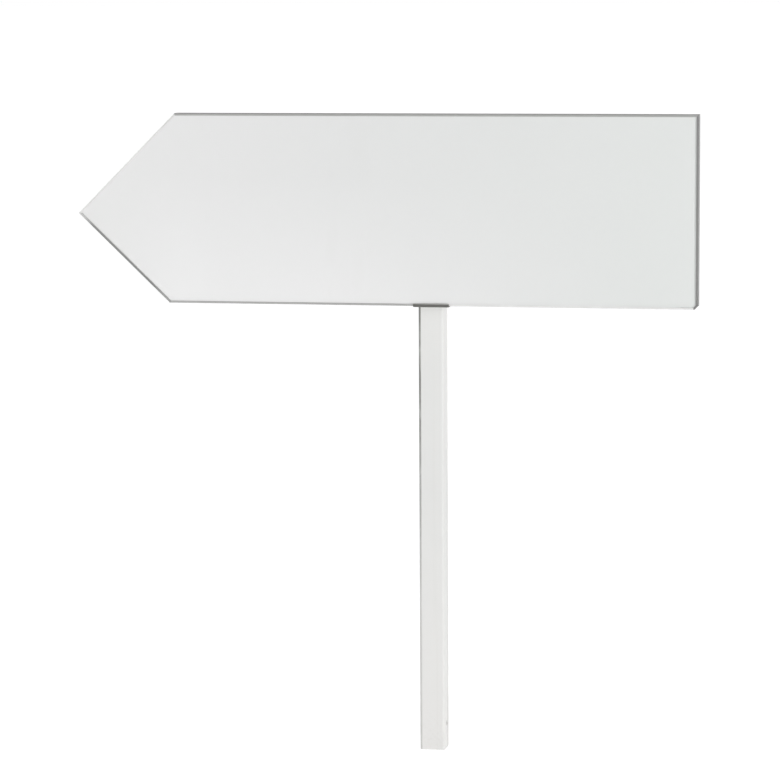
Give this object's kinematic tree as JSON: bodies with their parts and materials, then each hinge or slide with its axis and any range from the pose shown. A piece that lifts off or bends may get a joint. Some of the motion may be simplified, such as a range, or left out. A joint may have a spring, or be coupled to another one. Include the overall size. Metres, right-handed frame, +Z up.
{
  "type": "directional sign",
  "caption": "Arrow-shaped direction sign: a blank framed panel clamped to a square post, on clamps that let it be raised, lowered and shifted sideways.",
  "frame": {"origin": "centre of the post's foot, on the ground", "axes": "+X to the panel's square end (the arrow points to -X), +Y behind the panel, +Z up the post"},
  "size_m": [1.4795, 0.1006, 1.52],
  "materials": {
    "post_coat": "white powder coat on square steel tube",
    "cap": "black moulded plastic plug",
    "film": "white reflective film with fine cells, blank",
    "sheet": "grey painted aluminium sheet",
    "rim": "grey powder coat on slotted aluminium extrusion",
    "corner_casting": "grey powder coat on cast aluminium",
    "zinc": "dull zinc-plated steel",
    "dark_steel": "dark grey coated steel",
    "stainless": "plain stainless steel",
    "tape": "black foam bonding tape"
  },
  "bodies": {
    "post": {"post": "post_coat", "post_cap": "cap"},
    "clamps": {"upper_saddle": "dark_steel", "hook_plate": "dark_steel", "upper_strap": "zinc", "lower_strap": "zinc", "clamp_bolts": "stainless", "clamp_washers": "stainless", "clamp_nuts": "stainless"},
    "sign_head": {"face_sheet": "sheet", "face_film": "film", "rim_top": "rim", "rim_end": "rim", "rim_bottom": "rim", "rim_point_lower": "rim", "rim_point_upper": "rim", "corner_key_point": "zinc", "corner_key_top_left": "zinc", "corner_key_top_right": "zinc", "corner_key_bottom_left": "zinc", "corner_key_screws": "stainless", "corner_block": "corner_casting", "corner_block_screws": "stainless", "mid_rail": "rim", "rail_tapes": "tape"}
  },
  "joints": [
    {"name": "sign_height", "type": "slide", "parent": "post", "child": "clamps", "axis": [0, 0, 1], "range_m": [-0.95, 0]},
    {"name": "sign_shift", "type": "slide", "parent": "clamps", "child": "sign_head", "axis": [1, 0, 0], "range_m": [-0.45, 0.45]}
  ]
}
